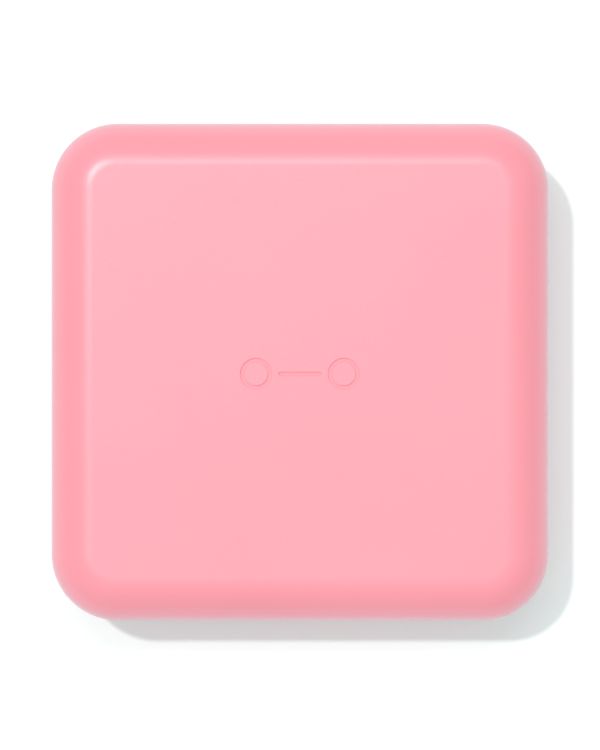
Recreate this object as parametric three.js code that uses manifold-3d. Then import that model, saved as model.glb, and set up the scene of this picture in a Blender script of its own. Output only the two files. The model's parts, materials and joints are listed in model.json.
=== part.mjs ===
// A travel case for contact lenses: a hinged, rounded-square shell with a mirror in its lid, and a
// tray that holds a two-well lens case with screw caps, a small bottle, tweezers and an applicator.
// Millimetres, +Z up. The origin is the middle of the underside, and the hinge is at the back, +Y.
import * as THREE from "three";
import { mergeVertices } from "three/addons/utils/BufferGeometryUtils.js";
import Module from "manifold-3d";

const wasm = await Module();
wasm.setup();

// ---- Driving dimensions ----

const SIDE = 72; // width and depth of the closed shell
const HEIGHT = 24; // closed height
const LID_HEIGHT = 10.4; // from the parting plane to the top
const CORNER_R = 9.6; // corners, seen from above
const EDGE_R = 6.4; // rounding of the top and bottom edges
const WALL = 1.8; // shell wall, floor and roof
const RIM_GAP = 0.3; // between the two rims when the case is shut

const OPEN_ANGLE = 120; // degrees that the lid turns
const STOP_SPARE = 1.5; // degrees left between the bevelled back walls at the stop
const BARREL_R = 1.9; // hinge barrel
const BARREL_INSET = 0.1; // barrel to the outside of the back wall
const BARREL_CLEAR = 0.5; // barrel to the tray
const KNUCKLE_COUNT = 5; // odd ones on the base, even ones on the lid
const KNUCKLE_LENGTH = 8.6;
const KNUCKLE_GAP = 0.25;
const KNUCKLE_WEB = 3.4; // height of the web that joins a knuckle to its wall
const PIN_R = 0.75;
const PIN_CLEAR = 0.1;

const SNAP_R = 0.5; // bead inside the lid's front wall
const SNAP_LENGTH = 18;
const SNAP_RISE = 0.95; // bead centre above the lid's rim
const SNAP_CLEAR = 0.35; // groove to bead
const THUMB_RECESS = [9, 1.1, 3.2]; // half width, depth and half height

const MIRROR_THICK = 1.2;
const MIRROR_CORNER_R = 3.6;
const MIRROR_CLEAR = 0.4; // mirror to the raised lip round it
const LIP_WIDTH = 0.9;
const LIP_HEIGHT = 0.9;
const LIP_MARGIN = 0.3; // lip to the rounding inside the roof
const MIRROR_SIDE = SIDE - 2 * (EDGE_R + LIP_MARGIN + LIP_WIDTH + MIRROR_CLEAR);
const TAPE_INSET = 4; // tape to the mirror's edge
const TAPE_SIDE = MIRROR_SIDE - 2 * TAPE_INSET;
const TAPE_THICK = 0.45;
const REST_GAP = 0.1; // between pieces that lie on each other

const TRAY_GAP = 0.3; // tray to shell
const TRAY_WALL = 1;
const DECK_DROP = 1.2; // deck below the parting plane
const TONGUE_RISE = 2.3; // tray rim above the parting plane
const SKIRT_DROP = 7; // tray rim below the deck
const SIDE_MARGIN = 1.9; // pocket ends to the tray's inner side walls
const FRONT_MARGIN = 0.5;
const POCKET_CORNER_R = 0.8;
const TRENCH_HALF = 8; // finger trench across the three tool pockets
const TRENCH_DEPTH = 3.8;

const CASE_CLEAR = 0.4; // lens case to its pocket
const CAP_SPACING = 2; // least gap between the two caps
const CAP_INSET = 0.2; // cap inside the outline of the slab
const SLAB_HEIGHT = 4.6;
const SLAB_EDGE_R = 1.2;
const CAP_WALL = 1.7;
const CAP_TOP = 1.5;
const CAP_LIFT_CLEAR = 1; // raised cap to mirror
const CAP_SKIRT_GAP = 0.4; // cap skirt to slab
const CAP_FLUTES = 30;
const CAP_FLUTE_DEPTH = 0.35;
const NECK_WALL = 1.3;
const WELL_FLOOR = 1.2;
const WELL_FLOOR_R = 3; // rounding between the well's wall and its floor
const SEAL_THICK = 0.8;
const SEAL_WIDTH = 1.9;

const THREAD_DEPTH = 0.7; // how far a lug stands out of its neck
const THREAD_HEIGHT = 0.7;
const THREAD_CLEAR = 0.3; // lug to lug, and lug to the facing wall
const LENS_THREAD_LEAD = 4;
const BOTTLE_THREAD_LEAD = 3;

const BOTTLE_R = 6.2;
const BOTTLE_CLEAR = 0.4;
const BOTTLE_WALL = 0.9;
const BOTTLE_NECK_R = 3.9;
const BOTTLE_BORE_R = 3;
const BOTTLE_NECK_LENGTH = 6.2;
const BOTTLE_SHOULDER = 3.2;
const BOTTLE_CAP_R = 5.9;
const BOTTLE_CAP_LENGTH = 13;
const BOTTLE_CAP_FLUTES = 20;
const NOZZLE_TIP_LENGTH = 4.6;
const NOZZLE_HOLE_R = 0.5;
const LINER_THICK = 0.6;

const TOOL_POCKET_DEPTH = 4.9; // below the deck
const TOOL_CLEAR = 0.4;
const TWEEZERS_SPREAD = 5.3; // half width, at the widest point of the open arms
const ARM_THICK = 1.3;
const ARM_HEIGHT = 3.4;
const ARM_ROOT_Y = 1.9;
const TAIL_LENGTH = 9;
const TAIL_HALF_WIDTH = 3.9;
const TAIL_HEIGHT = 5;
const TIP_LENGTH = 9.5;
const TIP_THICK = 2.8;
const TIP_HEIGHT = 4.8;
const TIP_GRIP = 5.6; // length of arm inside the tip
const SLEEVE_CLEAR = 0.2;

const HANDLE_R = 2.2;
const CUP_R = 3;
const CUP_LENGTH = 5.4;
const CUP_STEM_R = 1.3;
const CUP_STEM_LENGTH = 4;
const CUP_DISH = 1.1;
const CUP_CLEAR = 0.3;

const ROUND = 32; // facets of a round piece
const CORNER_STEPS = 6; // facets of a quarter round
const FILLET_STEPS = 3; // facets of a small fillet
const LUG_FACETS = 9; // an odd number sets the lug's joints midway between those of its wall

// ---- Sizes that follow ----

const half = SIDE / 2;
const cavityHalf = half - WALL;
const cavityCornerR = CORNER_R - WALL;
const cavityEdgeR = EDGE_R - WALL;
const roofZ = HEIGHT - WALL;
const partingZ = HEIGHT - LID_HEIGHT;
const baseRimZ = partingZ - RIM_GAP / 2;
const lidRimZ = partingZ + RIM_GAP / 2;

const hinge = { y: half - BARREL_R - BARREL_INSET, z: partingZ };
const hingeLength = KNUCKLE_COUNT * KNUCKLE_LENGTH + (KNUCKLE_COUNT - 1) * KNUCKLE_GAP;

const mirrorHalf = MIRROR_SIDE / 2;
const tapeZ = roofZ - REST_GAP - TAPE_THICK;
const mirrorZ = tapeZ - REST_GAP - MIRROR_THICK;

const trayHalf = cavityHalf - TRAY_GAP;
const trayCornerR = cavityCornerR - TRAY_GAP;
const trayBottomZ = WALL + REST_GAP;
const pocketFloorZ = trayBottomZ + TRAY_WALL;
const deckZ = partingZ - DECK_DROP;
const toolFloorZ = deckZ - TOOL_POCKET_DEPTH;
const recessY = hinge.y - BARREL_R - BARREL_CLEAR;
const recessHalf = hingeLength / 2 + BARREL_CLEAR;

// The pockets lie in four rows from back to front, with a wall between each two.
const pocketHalfX = trayHalf - TRAY_WALL - SIDE_MARGIN;
const rowsBackY = recessY - TRAY_WALL;
const rowsFrontY = -(trayHalf - TRAY_WALL - FRONT_MARGIN);
const bottleRoomR = Math.max(BOTTLE_R, BOTTLE_CAP_R); // the bottle and its cap share a pocket
const bottleRow = 2 * (bottleRoomR + BOTTLE_CLEAR);
const tweezersRow = 2 * (TWEEZERS_SPREAD + TOOL_CLEAR);
const applicatorRow = 2 * (CUP_R + CUP_CLEAR);
const toolRows = bottleRow + tweezersRow + applicatorRow + 3 * TRAY_WALL;
const applicatorY = rowsFrontY + applicatorRow / 2;
const tweezersY = applicatorY + applicatorRow / 2 + TRAY_WALL + tweezersRow / 2;
const bottleY = tweezersY + tweezersRow / 2 + TRAY_WALL + bottleRow / 2;

// The lens case is as large as both the depth and the width that are left allow.
const slabR = Math.min(
  (rowsBackY - rowsFrontY - toolRows) / 2 - CASE_CLEAR,
  (pocketHalfX - CASE_CLEAR - CAP_SPACING / 2) / 2,
);
const wellX = pocketHalfX - CASE_CLEAR - slabR;
const lensCaseY = rowsBackY - CASE_CLEAR - slabR;
const lensCaseZ = pocketFloorZ + REST_GAP;
const capR = slabR - CAP_INSET;
const capBoreR = capR - CAP_WALL;
const neckR = capBoreR - THREAD_DEPTH - THREAD_CLEAR;
const wellR = neckR - NECK_WALL;
const releaseTurn = 120; // degrees from tight to free, for two lugs that start half a turn apart
const lensCapRise = (LENS_THREAD_LEAD * releaseTurn) / 360;
const bottleCapRise = (BOTTLE_THREAD_LEAD * releaseTurn) / 360;
const lensCaseHeight = mirrorZ - CAP_LIFT_CLEAR - lensCapRise - lensCaseZ;
const neckTop = lensCaseHeight - CAP_TOP - SEAL_THICK - 2 * REST_GAP;

const bottleCapBoreR = BOTTLE_NECK_R + THREAD_DEPTH + THREAD_CLEAR;

// ---- Solids ----

// A closed three.js geometry as a solid that can be joined and cut.
function solid(geometry) {
  const bare = geometry.clone();
  bare.deleteAttribute("normal");
  bare.deleteAttribute("uv");
  const merged = mergeVertices(bare, 1e-4);
  const closed = new wasm.Mesh({
    numProp: 3,
    vertProperties: merged.attributes.position.array,
    triVerts: new Uint32Array(merged.index.array),
  });
  closed.merge();
  return new wasm.Manifold(closed);
}

function geometryOf(shape) {
  const mesh = shape.getMesh();
  return new THREE.BufferGeometry()
    .setAttribute("position", new THREE.BufferAttribute(mesh.vertProperties, 3))
    .setIndex(new THREE.BufferAttribute(mesh.triVerts, 1));
}

function box([x0, x1], [y0, y1], [z0, z1]) {
  const geometry = new THREE.BoxGeometry(x1 - x0, y1 - y0, z1 - z0);
  return solid(geometry.translate((x0 + x1) / 2, (y0 + y1) / 2, (z0 + z1) / 2));
}

function rod(radius, z0, z1, sides = ROUND) {
  const geometry = new THREE.CylinderGeometry(radius, radius, z1 - z0, sides);
  return solid(geometry.rotateX(Math.PI / 2).translate(0, 0, (z0 + z1) / 2));
}

// A rod along X, through the point (y, z).
function crossRod(radius, x0, x1, y, z, sides = ROUND) {
  const geometry = new THREE.CylinderGeometry(radius, radius, x1 - x0, sides);
  return solid(geometry.rotateZ(Math.PI / 2).translate((x0 + x1) / 2, y, z));
}

// A solid of revolution about Z. The profile is a list of [radius, height].
function turned(profile, sides = ROUND) {
  const points = profile.map(([r, z]) => new THREE.Vector2(r, z));
  return solid(new THREE.LatheGeometry(points, sides).rotateX(Math.PI / 2));
}

function roundedOutline(halfX, halfY, radius) {
  const outline = new THREE.Shape();
  outline.absarc(halfX - radius, halfY - radius, radius, 0, Math.PI / 2);
  outline.absarc(radius - halfX, halfY - radius, radius, Math.PI / 2, Math.PI);
  outline.absarc(radius - halfX, radius - halfY, radius, Math.PI, 1.5 * Math.PI);
  outline.absarc(halfX - radius, radius - halfY, radius, 1.5 * Math.PI, 2 * Math.PI);
  return outline;
}

function plate(outline, z0, z1, curveSegments = CORNER_STEPS) {
  const options = { depth: z1 - z0, bevelEnabled: false, curveSegments };
  return solid(new THREE.ExtrudeGeometry(outline, options).translate(0, 0, z0));
}

// A plate whose top and bottom edges are rounded.
function pebble(outline, edgeR, z0, z1, edgeSteps = CORNER_STEPS) {
  const geometry = new THREE.ExtrudeGeometry(outline, {
    depth: z1 - z0 - 2 * edgeR,
    bevelThickness: edgeR,
    bevelSize: edgeR,
    bevelOffset: -edgeR,
    bevelSegments: edgeSteps,
    curveSegments: CORNER_STEPS,
  });
  return solid(geometry.translate(0, 0, z0 + edgeR));
}

function square(halfSide, radius) {
  return roundedOutline(halfSide, halfSide, radius);
}

function ring(outer, inner, z0, z1) {
  return plate(outer, z0, z1).subtract(plate(inner, z0 - 1, z1 + 1));
}

// A round outline with shallow finger flutes.
function flutedOutline(radius, flutes, depth) {
  const points = [];
  for (let i = 0; i < 4 * flutes; i++) {
    const angle = (i / (4 * flutes)) * 2 * Math.PI;
    const r = i % 4 < 2 ? radius : radius - depth;
    points.push(new THREE.Vector2(r * Math.cos(angle), r * Math.sin(angle)));
  }
  return new THREE.Shape(points);
}

// One thread lug: a bar bent round the Z axis that climbs by lead in a full turn. It stands on a
// wall of radius wallR, out to radius crestR, and both its ends run down into that wall.
function lug(wallR, crestR, z, lead, start) {
  const outward = Math.sign(crestR - wallR);
  const footR = wallR - 0.3 * outward;
  const endR = wallR - 0.1 * outward;
  const span = (LUG_FACETS / ROUND) * 2 * Math.PI;
  const geometry = new THREE.BoxGeometry(1, 1, 1, LUG_FACETS, 1, 1);
  const place = geometry.attributes.position;
  for (let i = 0; i < place.count; i++) {
    const along = place.getX(i);
    const crest = place.getY(i) > 0;
    const taper = Math.min(1, (0.5 - Math.abs(along)) * LUG_FACETS * 0.5);
    const radius = crest ? endR + (crestR - endR) * taper : footR;
    const turn = -along * span * outward;
    const angle = start + turn;
    const climb = (lead * turn) / (2 * Math.PI);
    const up = place.getZ(i) * THREAD_HEIGHT * (crest ? 0.7 : 1);
    place.setXYZ(i, radius * Math.cos(angle), radius * Math.sin(angle), z + climb + up);
  }
  return solid(geometry);
}

// Two lugs, half a turn apart.
function lugPair(wallR, crestR, z, lead) {
  return lug(wallR, crestR, z, lead, 0).add(lug(wallR, crestR, z, lead, Math.PI));
}

function union(shapes) {
  return shapes.reduce((sum, shape) => sum.add(shape));
}

// ---- Materials ----

function material(color, roughness, metalness = 0, extra = {}) {
  return new THREE.MeshStandardMaterial({ color, roughness, metalness, ...extra });
}

const pinkShell = material(0xffb2bd, 0.45);
const whitePlastic = material(0xf4f2ee, 0.4);
const pinkPlastic = material(0xffa6b4, 0.4);
const mirrorGlass = material(0xe8eef0, 0.02, 1);
const tapeFoam = material(0xdcdcd8, 0.9);
const steel = material(0xb9bcc0, 0.3, 1);
const clearSilicone = material(0xf1f3f2, 0.35, 0, { transparent: true, opacity: 0.7 });
const frostedBottle = material(0xf3f5f6, 0.3, 0, { transparent: true, opacity: 0.6 });

function mesh(name, shape, itsMaterial) {
  const made = new THREE.Mesh(geometryOf(shape), itsMaterial);
  made.name = name;
  return made;
}

// ---- Shell: base, lid, hinge and snap ----

function wholeShell() {
  const outside = pebble(square(half, CORNER_R), EDGE_R, 0, HEIGHT);
  const inside = pebble(square(cavityHalf, cavityCornerR), cavityEdgeR, WALL, roofZ);
  return outside.subtract(inside);
}

// The bevelled channel along the back, with its point on the hinge axis. It lets the back walls
// swing towards each other until the lid is open.
function hingeChannel() {
  const reach = 2 * (half - hinge.y);
  const rise = reach * Math.tan(THREE.MathUtils.degToRad((OPEN_ANGLE + STOP_SPARE) / 2));
  const wedge = new THREE.Shape();
  wedge.moveTo(0, 0);
  wedge.lineTo(reach, -rise);
  wedge.lineTo(reach, rise);
  const geometry = new THREE.ExtrudeGeometry(wedge, { depth: SIDE, bevelEnabled: false });
  geometry.rotateY(Math.PI / 2).rotateX(Math.PI / 2);
  return solid(geometry.translate(-half, hinge.y, hinge.z));
}

function knuckleSpan(index) {
  const x0 = -hingeLength / 2 + index * (KNUCKLE_LENGTH + KNUCKLE_GAP);
  return [x0, x0 + KNUCKLE_LENGTH];
}

function knuckle(index, side) {
  const [x0, x1] = knuckleSpan(index);
  const web = [hinge.z, hinge.z + side * KNUCKLE_WEB].sort((a, b) => a - b);
  const intoWall = cavityHalf + 0.3;
  return crossRod(BARREL_R, x0, x1, hinge.y, hinge.z).add(
    box([x0, x1], [hinge.y - BARREL_R, intoWall], web),
  );
}

// Room in one shell for the knuckles of the other.
function knuckleRoom(parity) {
  const rooms = [];
  for (let i = 0; i < KNUCKLE_COUNT; i++) {
    if (i % 2 !== parity) continue;
    const [x0, x1] = knuckleSpan(i);
    const radius = BARREL_R + KNUCKLE_GAP;
    rooms.push(crossRod(radius, x0 - KNUCKLE_GAP, x1 + KNUCKLE_GAP, hinge.y, hinge.z));
  }
  return union(rooms);
}

function knuckles(parity, side) {
  const made = [];
  for (let i = parity; i < KNUCKLE_COUNT; i += 2) made.push(knuckle(i, side));
  return union(made);
}

function pinHole() {
  const reach = hingeLength / 2 + 1;
  return crossRod(PIN_R + PIN_CLEAR, -reach, reach, hinge.y, hinge.z);
}

function baseShell() {
  const below = box([-SIDE, SIDE], [-SIDE, SIDE], [-1, baseRimZ]);
  const [halfWidth, depth, halfHeight] = THUMB_RECESS;
  const recess = new THREE.SphereGeometry(1, ROUND, 2 * CORNER_STEPS);
  recess.scale(halfWidth, depth, halfHeight).translate(0, -half, baseRimZ - halfHeight / 2);
  return wholeShell()
    .intersect(below)
    .subtract(hingeChannel())
    .subtract(knuckleRoom(1))
    .subtract(solid(recess))
    .add(knuckles(0, -1))
    .subtract(pinHole());
}

function lidShell() {
  const above = box([-SIDE, SIDE], [-SIDE, SIDE], [lidRimZ, HEIGHT + 1]);
  const lipInner = mirrorHalf + MIRROR_CLEAR;
  const lipOuter = lipInner + LIP_WIDTH;
  const innerOutline = square(lipInner, MIRROR_CORNER_R + MIRROR_CLEAR);
  const outerOutline = square(lipOuter, MIRROR_CORNER_R + MIRROR_CLEAR + LIP_WIDTH);
  const lip = ring(outerOutline, innerOutline, roofZ - LIP_HEIGHT, roofZ + WALL / 2);
  const bead = crossRod(
    SNAP_R, -SNAP_LENGTH / 2, SNAP_LENGTH / 2, -cavityHalf, lidRimZ + SNAP_RISE, 16);
  return wholeShell()
    .intersect(above)
    .subtract(hingeChannel())
    .subtract(knuckleRoom(0))
    .add(knuckles(1, 1))
    .add(lip)
    .add(bead)
    .subtract(pinHole());
}

function hingePin() {
  const reach = hingeLength / 2 - KNUCKLE_GAP;
  return crossRod(PIN_R, -reach, reach, hinge.y, hinge.z, 16);
}

// ---- Tray ----

function pocket(halfX, halfY, radius, y, floorZ) {
  return plate(roundedOutline(halfX, halfY, radius), floorZ, deckZ + 1).translate([0, y, 0]);
}

// Each pocket is [half length, half width, corner radius, y, floor height].
const pockets = [
  [pocketHalfX, slabR + CASE_CLEAR, slabR + CASE_CLEAR, lensCaseY, pocketFloorZ],
  [pocketHalfX, bottleRow / 2, POCKET_CORNER_R, bottleY, pocketFloorZ],
  [pocketHalfX, tweezersRow / 2, POCKET_CORNER_R, tweezersY, toolFloorZ],
  [pocketHalfX, applicatorRow / 2, POCKET_CORNER_R, applicatorY, toolFloorZ],
];

function tray() {
  const rimZ = partingZ + TONGUE_RISE;
  const outline = square(trayHalf, trayCornerR);
  const inner = square(trayHalf - TRAY_WALL, trayCornerR - TRAY_WALL);
  const rim = ring(outline, inner, deckZ - SKIRT_DROP, rimZ);
  const deck = plate(outline, deckZ - TRAY_WALL, deckZ);
  const wells = pockets.map(([halfX, halfY, radius, y, floorZ]) =>
    plate(
      roundedOutline(halfX + TRAY_WALL, halfY + TRAY_WALL, radius + TRAY_WALL),
      floorZ - TRAY_WALL,
      deckZ,
    ).translate([0, y, 0]),
  );
  const behindHinge = box(
    [-recessHalf - TRAY_WALL, recessHalf + TRAY_WALL],
    [recessY - TRAY_WALL, trayHalf - TRAY_WALL / 2],
    [deckZ - TRAY_WALL, rimZ],
  );
  const hingeRoom = box(
    [-recessHalf, recessHalf],
    [recessY, trayHalf + 1],
    [deckZ - SKIRT_DROP - 1, rimZ + 1],
  );
  const trench = box(
    [-TRENCH_HALF, TRENCH_HALF],
    [applicatorY, bottleY],
    [deckZ - TRENCH_DEPTH, deckZ + 1],
  );
  const snapGroove = crossRod(
    SNAP_R + SNAP_CLEAR,
    -SNAP_LENGTH / 2 - SNAP_CLEAR,
    SNAP_LENGTH / 2 + SNAP_CLEAR,
    -cavityHalf,
    lidRimZ + SNAP_RISE,
    16,
  );
  const roundedRoom = pebble(outline, cavityEdgeR - TRAY_GAP, trayBottomZ, HEIGHT);
  return union([rim, deck, behindHinge, ...wells])
    .subtract(union(pockets.map((p) => pocket(...p))))
    .subtract(hingeRoom)
    .subtract(trench)
    .subtract(snapGroove)
    .intersect(roundedRoom);
}

// ---- Lens case: body, seals and screw caps, with z from the underside of the body ----

const lensLugDrop = THREAD_HEIGHT + THREAD_CLEAR; // cap lugs below neck lugs when shut
const lensThreadZ = (SLAB_HEIGHT + CAP_SKIRT_GAP + neckTop + lensLugDrop) / 2; // neck's lugs

function lensWell() {
  const floorR = Math.min(WELL_FLOOR_R, wellR / 2);
  const profile = [[0, WELL_FLOOR]];
  for (let i = 0; i <= FILLET_STEPS; i++) {
    const angle = (i / FILLET_STEPS) * (Math.PI / 2);
    profile.push([
      wellR - floorR + floorR * Math.sin(angle),
      WELL_FLOOR + floorR - floorR * Math.cos(angle),
    ]);
  }
  profile.push([wellR, neckTop + 1], [0, neckTop + 1]);
  return turned(profile);
}

function lensCaseBody() {
  const outline = roundedOutline(wellX + slabR, slabR, slabR);
  let body = pebble(outline, SLAB_EDGE_R, 0, SLAB_HEIGHT, 2);
  for (const side of [-1, 1]) {
    const neck = rod(neckR, SLAB_HEIGHT / 2, neckTop)
      .add(lugPair(neckR, neckR + THREAD_DEPTH, lensThreadZ, LENS_THREAD_LEAD))
      .subtract(lensWell());
    const hollow = lensWell().translate([side * wellX, 0, 0]);
    body = body.subtract(hollow).add(neck.translate([side * wellX, 0, 0]));
  }
  return body;
}

function lensCap() {
  const skirtZ = SLAB_HEIGHT + CAP_SKIRT_GAP;
  const ceilingZ = lensCaseHeight - CAP_TOP;
  const outline = flutedOutline(capR, CAP_FLUTES, CAP_FLUTE_DEPTH);
  const skirt = plate(outline, skirtZ, lensCaseHeight - CAP_TOP / 2);
  const crown = turned([
    [0, ceilingZ],
    [capR - CAP_FLUTE_DEPTH, ceilingZ],
    [capR - CAP_FLUTE_DEPTH, lensCaseHeight - CAP_TOP / 2],
    [capR - CAP_FLUTE_DEPTH - CAP_TOP / 2, lensCaseHeight],
    [0, lensCaseHeight],
  ]);
  return skirt
    .add(crown)
    .subtract(rod(capBoreR, skirtZ - 1, ceilingZ))
    .add(lugPair(capBoreR, capBoreR - THREAD_DEPTH, lensThreadZ - lensLugDrop, LENS_THREAD_LEAD));
}

function capSeal() {
  const z0 = neckTop + REST_GAP;
  const outerR = capBoreR - THREAD_CLEAR;
  const innerR = outerR - SEAL_WIDTH - THREAD_DEPTH;
  return rod(outerR, z0, z0 + SEAL_THICK).subtract(rod(innerR, z0 - 1, z0 + SEAL_THICK + 1));
}

// ---- Bottle: body, nozzle, liner and cap, with z from its base along its axis ----

const bottleLength = 2 * (pocketHalfX - BOTTLE_CLEAR) - bottleCapRise;
const bottleNeckTop = bottleLength - BOTTLE_CAP_LENGTH + BOTTLE_NECK_LENGTH;
const bottleShoulderZ = bottleNeckTop - BOTTLE_NECK_LENGTH - 2 * CAP_SKIRT_GAP;
const bottleThreadZ = bottleNeckTop - 2.2;
const nozzleTopZ = bottleNeckTop + REST_GAP + 0.8 + NOZZLE_TIP_LENGTH;

function bottleBody() {
  const bodyTop = bottleShoulderZ - BOTTLE_SHOULDER;
  const inner = BOTTLE_R - BOTTLE_WALL;
  return turned([
    [0, 0],
    [BOTTLE_R - 1, 0],
    [BOTTLE_R - 0.3, 0.3],
    [BOTTLE_R, 1],
    [BOTTLE_R, bodyTop],
    [BOTTLE_R - 0.6, bodyTop + 1.3],
    [BOTTLE_NECK_R + 0.6, bottleShoulderZ - 0.4],
    [BOTTLE_NECK_R, bottleShoulderZ],
    [BOTTLE_NECK_R, bottleNeckTop],
    [BOTTLE_BORE_R, bottleNeckTop],
    [BOTTLE_BORE_R, bottleShoulderZ - BOTTLE_WALL],
    [inner, bodyTop],
    [inner, BOTTLE_WALL + 0.6],
    [inner - 0.6, BOTTLE_WALL],
    [0, BOTTLE_WALL],
  ]).add(lugPair(BOTTLE_NECK_R, BOTTLE_NECK_R + THREAD_DEPTH, bottleThreadZ, BOTTLE_THREAD_LEAD));
}

function bottleNozzle() {
  const flangeZ = bottleNeckTop + REST_GAP;
  const plugR = BOTTLE_BORE_R - REST_GAP;
  return turned([
    [NOZZLE_HOLE_R, flangeZ - 3],
    [plugR, flangeZ - 3],
    [plugR, flangeZ],
    [BOTTLE_NECK_R, flangeZ],
    [BOTTLE_NECK_R, flangeZ + 0.8],
    [BOTTLE_NECK_R - 1.5, flangeZ + 0.8],
    [NOZZLE_HOLE_R + 0.6, nozzleTopZ],
    [NOZZLE_HOLE_R, nozzleTopZ],
    [NOZZLE_HOLE_R, flangeZ - 3],
  ], 24);
}

function capLiner() {
  const z0 = nozzleTopZ + REST_GAP;
  return rod(bottleCapBoreR - THREAD_CLEAR, z0, z0 + LINER_THICK);
}

function bottleCap() {
  const skirtZ = bottleLength - BOTTLE_CAP_LENGTH;
  const ceilingZ = nozzleTopZ + LINER_THICK + 2 * REST_GAP;
  const outline = flutedOutline(BOTTLE_CAP_R, BOTTLE_CAP_FLUTES, CAP_FLUTE_DEPTH * 0.8);
  const threadZ = bottleThreadZ - lensLugDrop;
  return plate(outline, skirtZ, bottleLength)
    .subtract(rod(bottleCapBoreR, skirtZ - 1, ceilingZ))
    .add(lugPair(bottleCapBoreR, bottleCapBoreR - THREAD_DEPTH, threadZ, BOTTLE_THREAD_LEAD));
}

// ---- Tweezers, with x from the tail along the tool, and y across it ----

const tweezersLength = 2 * (pocketHalfX - TOOL_CLEAR);
const tipY = TWEEZERS_SPREAD - TIP_THICK / 2;
const armEnd = tweezersLength - TIP_LENGTH + TIP_GRIP;

// The bow of one arm, from its root in the tail to the tip.
function armCurve(side) {
  const bow = TWEEZERS_SPREAD - ARM_THICK / 2;
  const points = [
    [1.6, ARM_ROOT_Y],
    [TAIL_LENGTH, ARM_ROOT_Y],
    [0.33 * tweezersLength, 0.8 * bow],
    [0.55 * tweezersLength, bow],
    [tweezersLength - TIP_LENGTH - 2, tipY + 0.15],
    [armEnd, tipY],
  ];
  return new THREE.CatmullRomCurve3(points.map(([x, y]) => new THREE.Vector3(x, side * y, 0)));
}

function armSolid(side, grow = 0) {
  const section = roundedOutline(ARM_HEIGHT / 2 + grow, ARM_THICK / 2 + grow, 0.4);
  const extrudePath = armCurve(side);
  return solid(new THREE.ExtrudeGeometry(section, { steps: 20, extrudePath, curveSegments: 1 }));
}

function tweezersTip(side) {
  const x0 = tweezersLength - TIP_LENGTH;
  const outline = roundedOutline(TIP_LENGTH / 2, TIP_THICK / 2, TIP_THICK / 2 - 0.1);
  const sleeve = pebble(outline, 0.6, -TIP_HEIGHT / 2, TIP_HEIGHT / 2, 1);
  const socketEnd = armEnd + SLEEVE_CLEAR;
  const socket = box(
    [x0 - 1, socketEnd],
    [side * tipY - ARM_THICK / 2 - SLEEVE_CLEAR, side * tipY + ARM_THICK / 2 + SLEEVE_CLEAR],
    [-ARM_HEIGHT / 2 - SLEEVE_CLEAR / 2, ARM_HEIGHT / 2 + SLEEVE_CLEAR / 2],
  );
  return sleeve
    .translate([x0 + TIP_LENGTH / 2, side * tipY, 0])
    .subtract(socket)
    .subtract(armSolid(side, SLEEVE_CLEAR));
}

function tweezersTail() {
  const outline = roundedOutline(TAIL_LENGTH / 2, TAIL_HALF_WIDTH, 2.2);
  let tail = pebble(outline, 0.7, -TAIL_HEIGHT / 2, TAIL_HEIGHT / 2, 2);
  tail = tail.translate([TAIL_LENGTH / 2, 0, 0]);
  const slotHalf = ARM_THICK / 2 + 0.35;
  for (const side of [-1, 1]) {
    const y = side * ARM_ROOT_Y;
    const height = ARM_HEIGHT / 2 + SLEEVE_CLEAR;
    tail = tail.subtract(
      box([1.2, TAIL_LENGTH + 1], [y - slotHalf, y + slotHalf], [-height, height]),
    );
  }
  return tail;
}

// ---- Applicator: a handle with a soft cup, with x along the tool ----

const applicatorHalf = pocketHalfX - CUP_CLEAR;

function applicatorHandle() {
  const length = 2 * applicatorHalf - CUP_LENGTH - REST_GAP;
  const socketR = CUP_STEM_R + REST_GAP;
  return turned([
    [0, 0],
    [HANDLE_R - 0.8, 0],
    [HANDLE_R, 0.8],
    [HANDLE_R, 0.45 * length],
    [HANDLE_R * 0.8, 0.6 * length],
    [HANDLE_R * 0.8, length - 7],
    [HANDLE_R, length - 5],
    [HANDLE_R, length],
    [socketR, length],
    [socketR, length - CUP_STEM_LENGTH - REST_GAP],
    [0, length - CUP_STEM_LENGTH - REST_GAP],
  ], 24);
}

function applicatorCup() {
  const z0 = 2 * applicatorHalf - CUP_LENGTH;
  const lip = z0 + CUP_LENGTH;
  return turned([
    [0, z0 - CUP_STEM_LENGTH],
    [CUP_STEM_R, z0 - CUP_STEM_LENGTH],
    [CUP_STEM_R, z0],
    [HANDLE_R, z0],
    [HANDLE_R * 0.8, z0 + 1.6],
    [CUP_R * 0.75, lip - 1.6],
    [CUP_R, lip - 0.5],
    [CUP_R - 0.15, lip],
    [CUP_R - 0.6, lip],
    [CUP_R * 0.55, lip - 0.7 * CUP_DISH],
    [0, lip - CUP_DISH],
  ], 24);
}

// ---- Assembly ----

function placed(group, x, y, z) {
  group.position.set(x, y, z);
  return group;
}

function shellGroup() {
  const group = new THREE.Group();
  group.add(mesh("base_shell", baseShell(), pinkShell));
  group.add(mesh("lid_shell", lidShell(), pinkShell));
  group.add(mesh("hinge_pin", hingePin(), steel));
  group.add(mesh("inner_tray", tray(), whitePlastic));
  const glass = plate(square(mirrorHalf, MIRROR_CORNER_R), 0, MIRROR_THICK);
  const tape = plate(square(TAPE_SIDE / 2, MIRROR_CORNER_R), 0, TAPE_THICK, 3);
  group.add(placed(mesh("mirror", glass, mirrorGlass), 0, 0, mirrorZ));
  group.add(placed(mesh("mirror_tape", tape, tapeFoam), 0, 0, tapeZ));
  return group;
}

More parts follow.
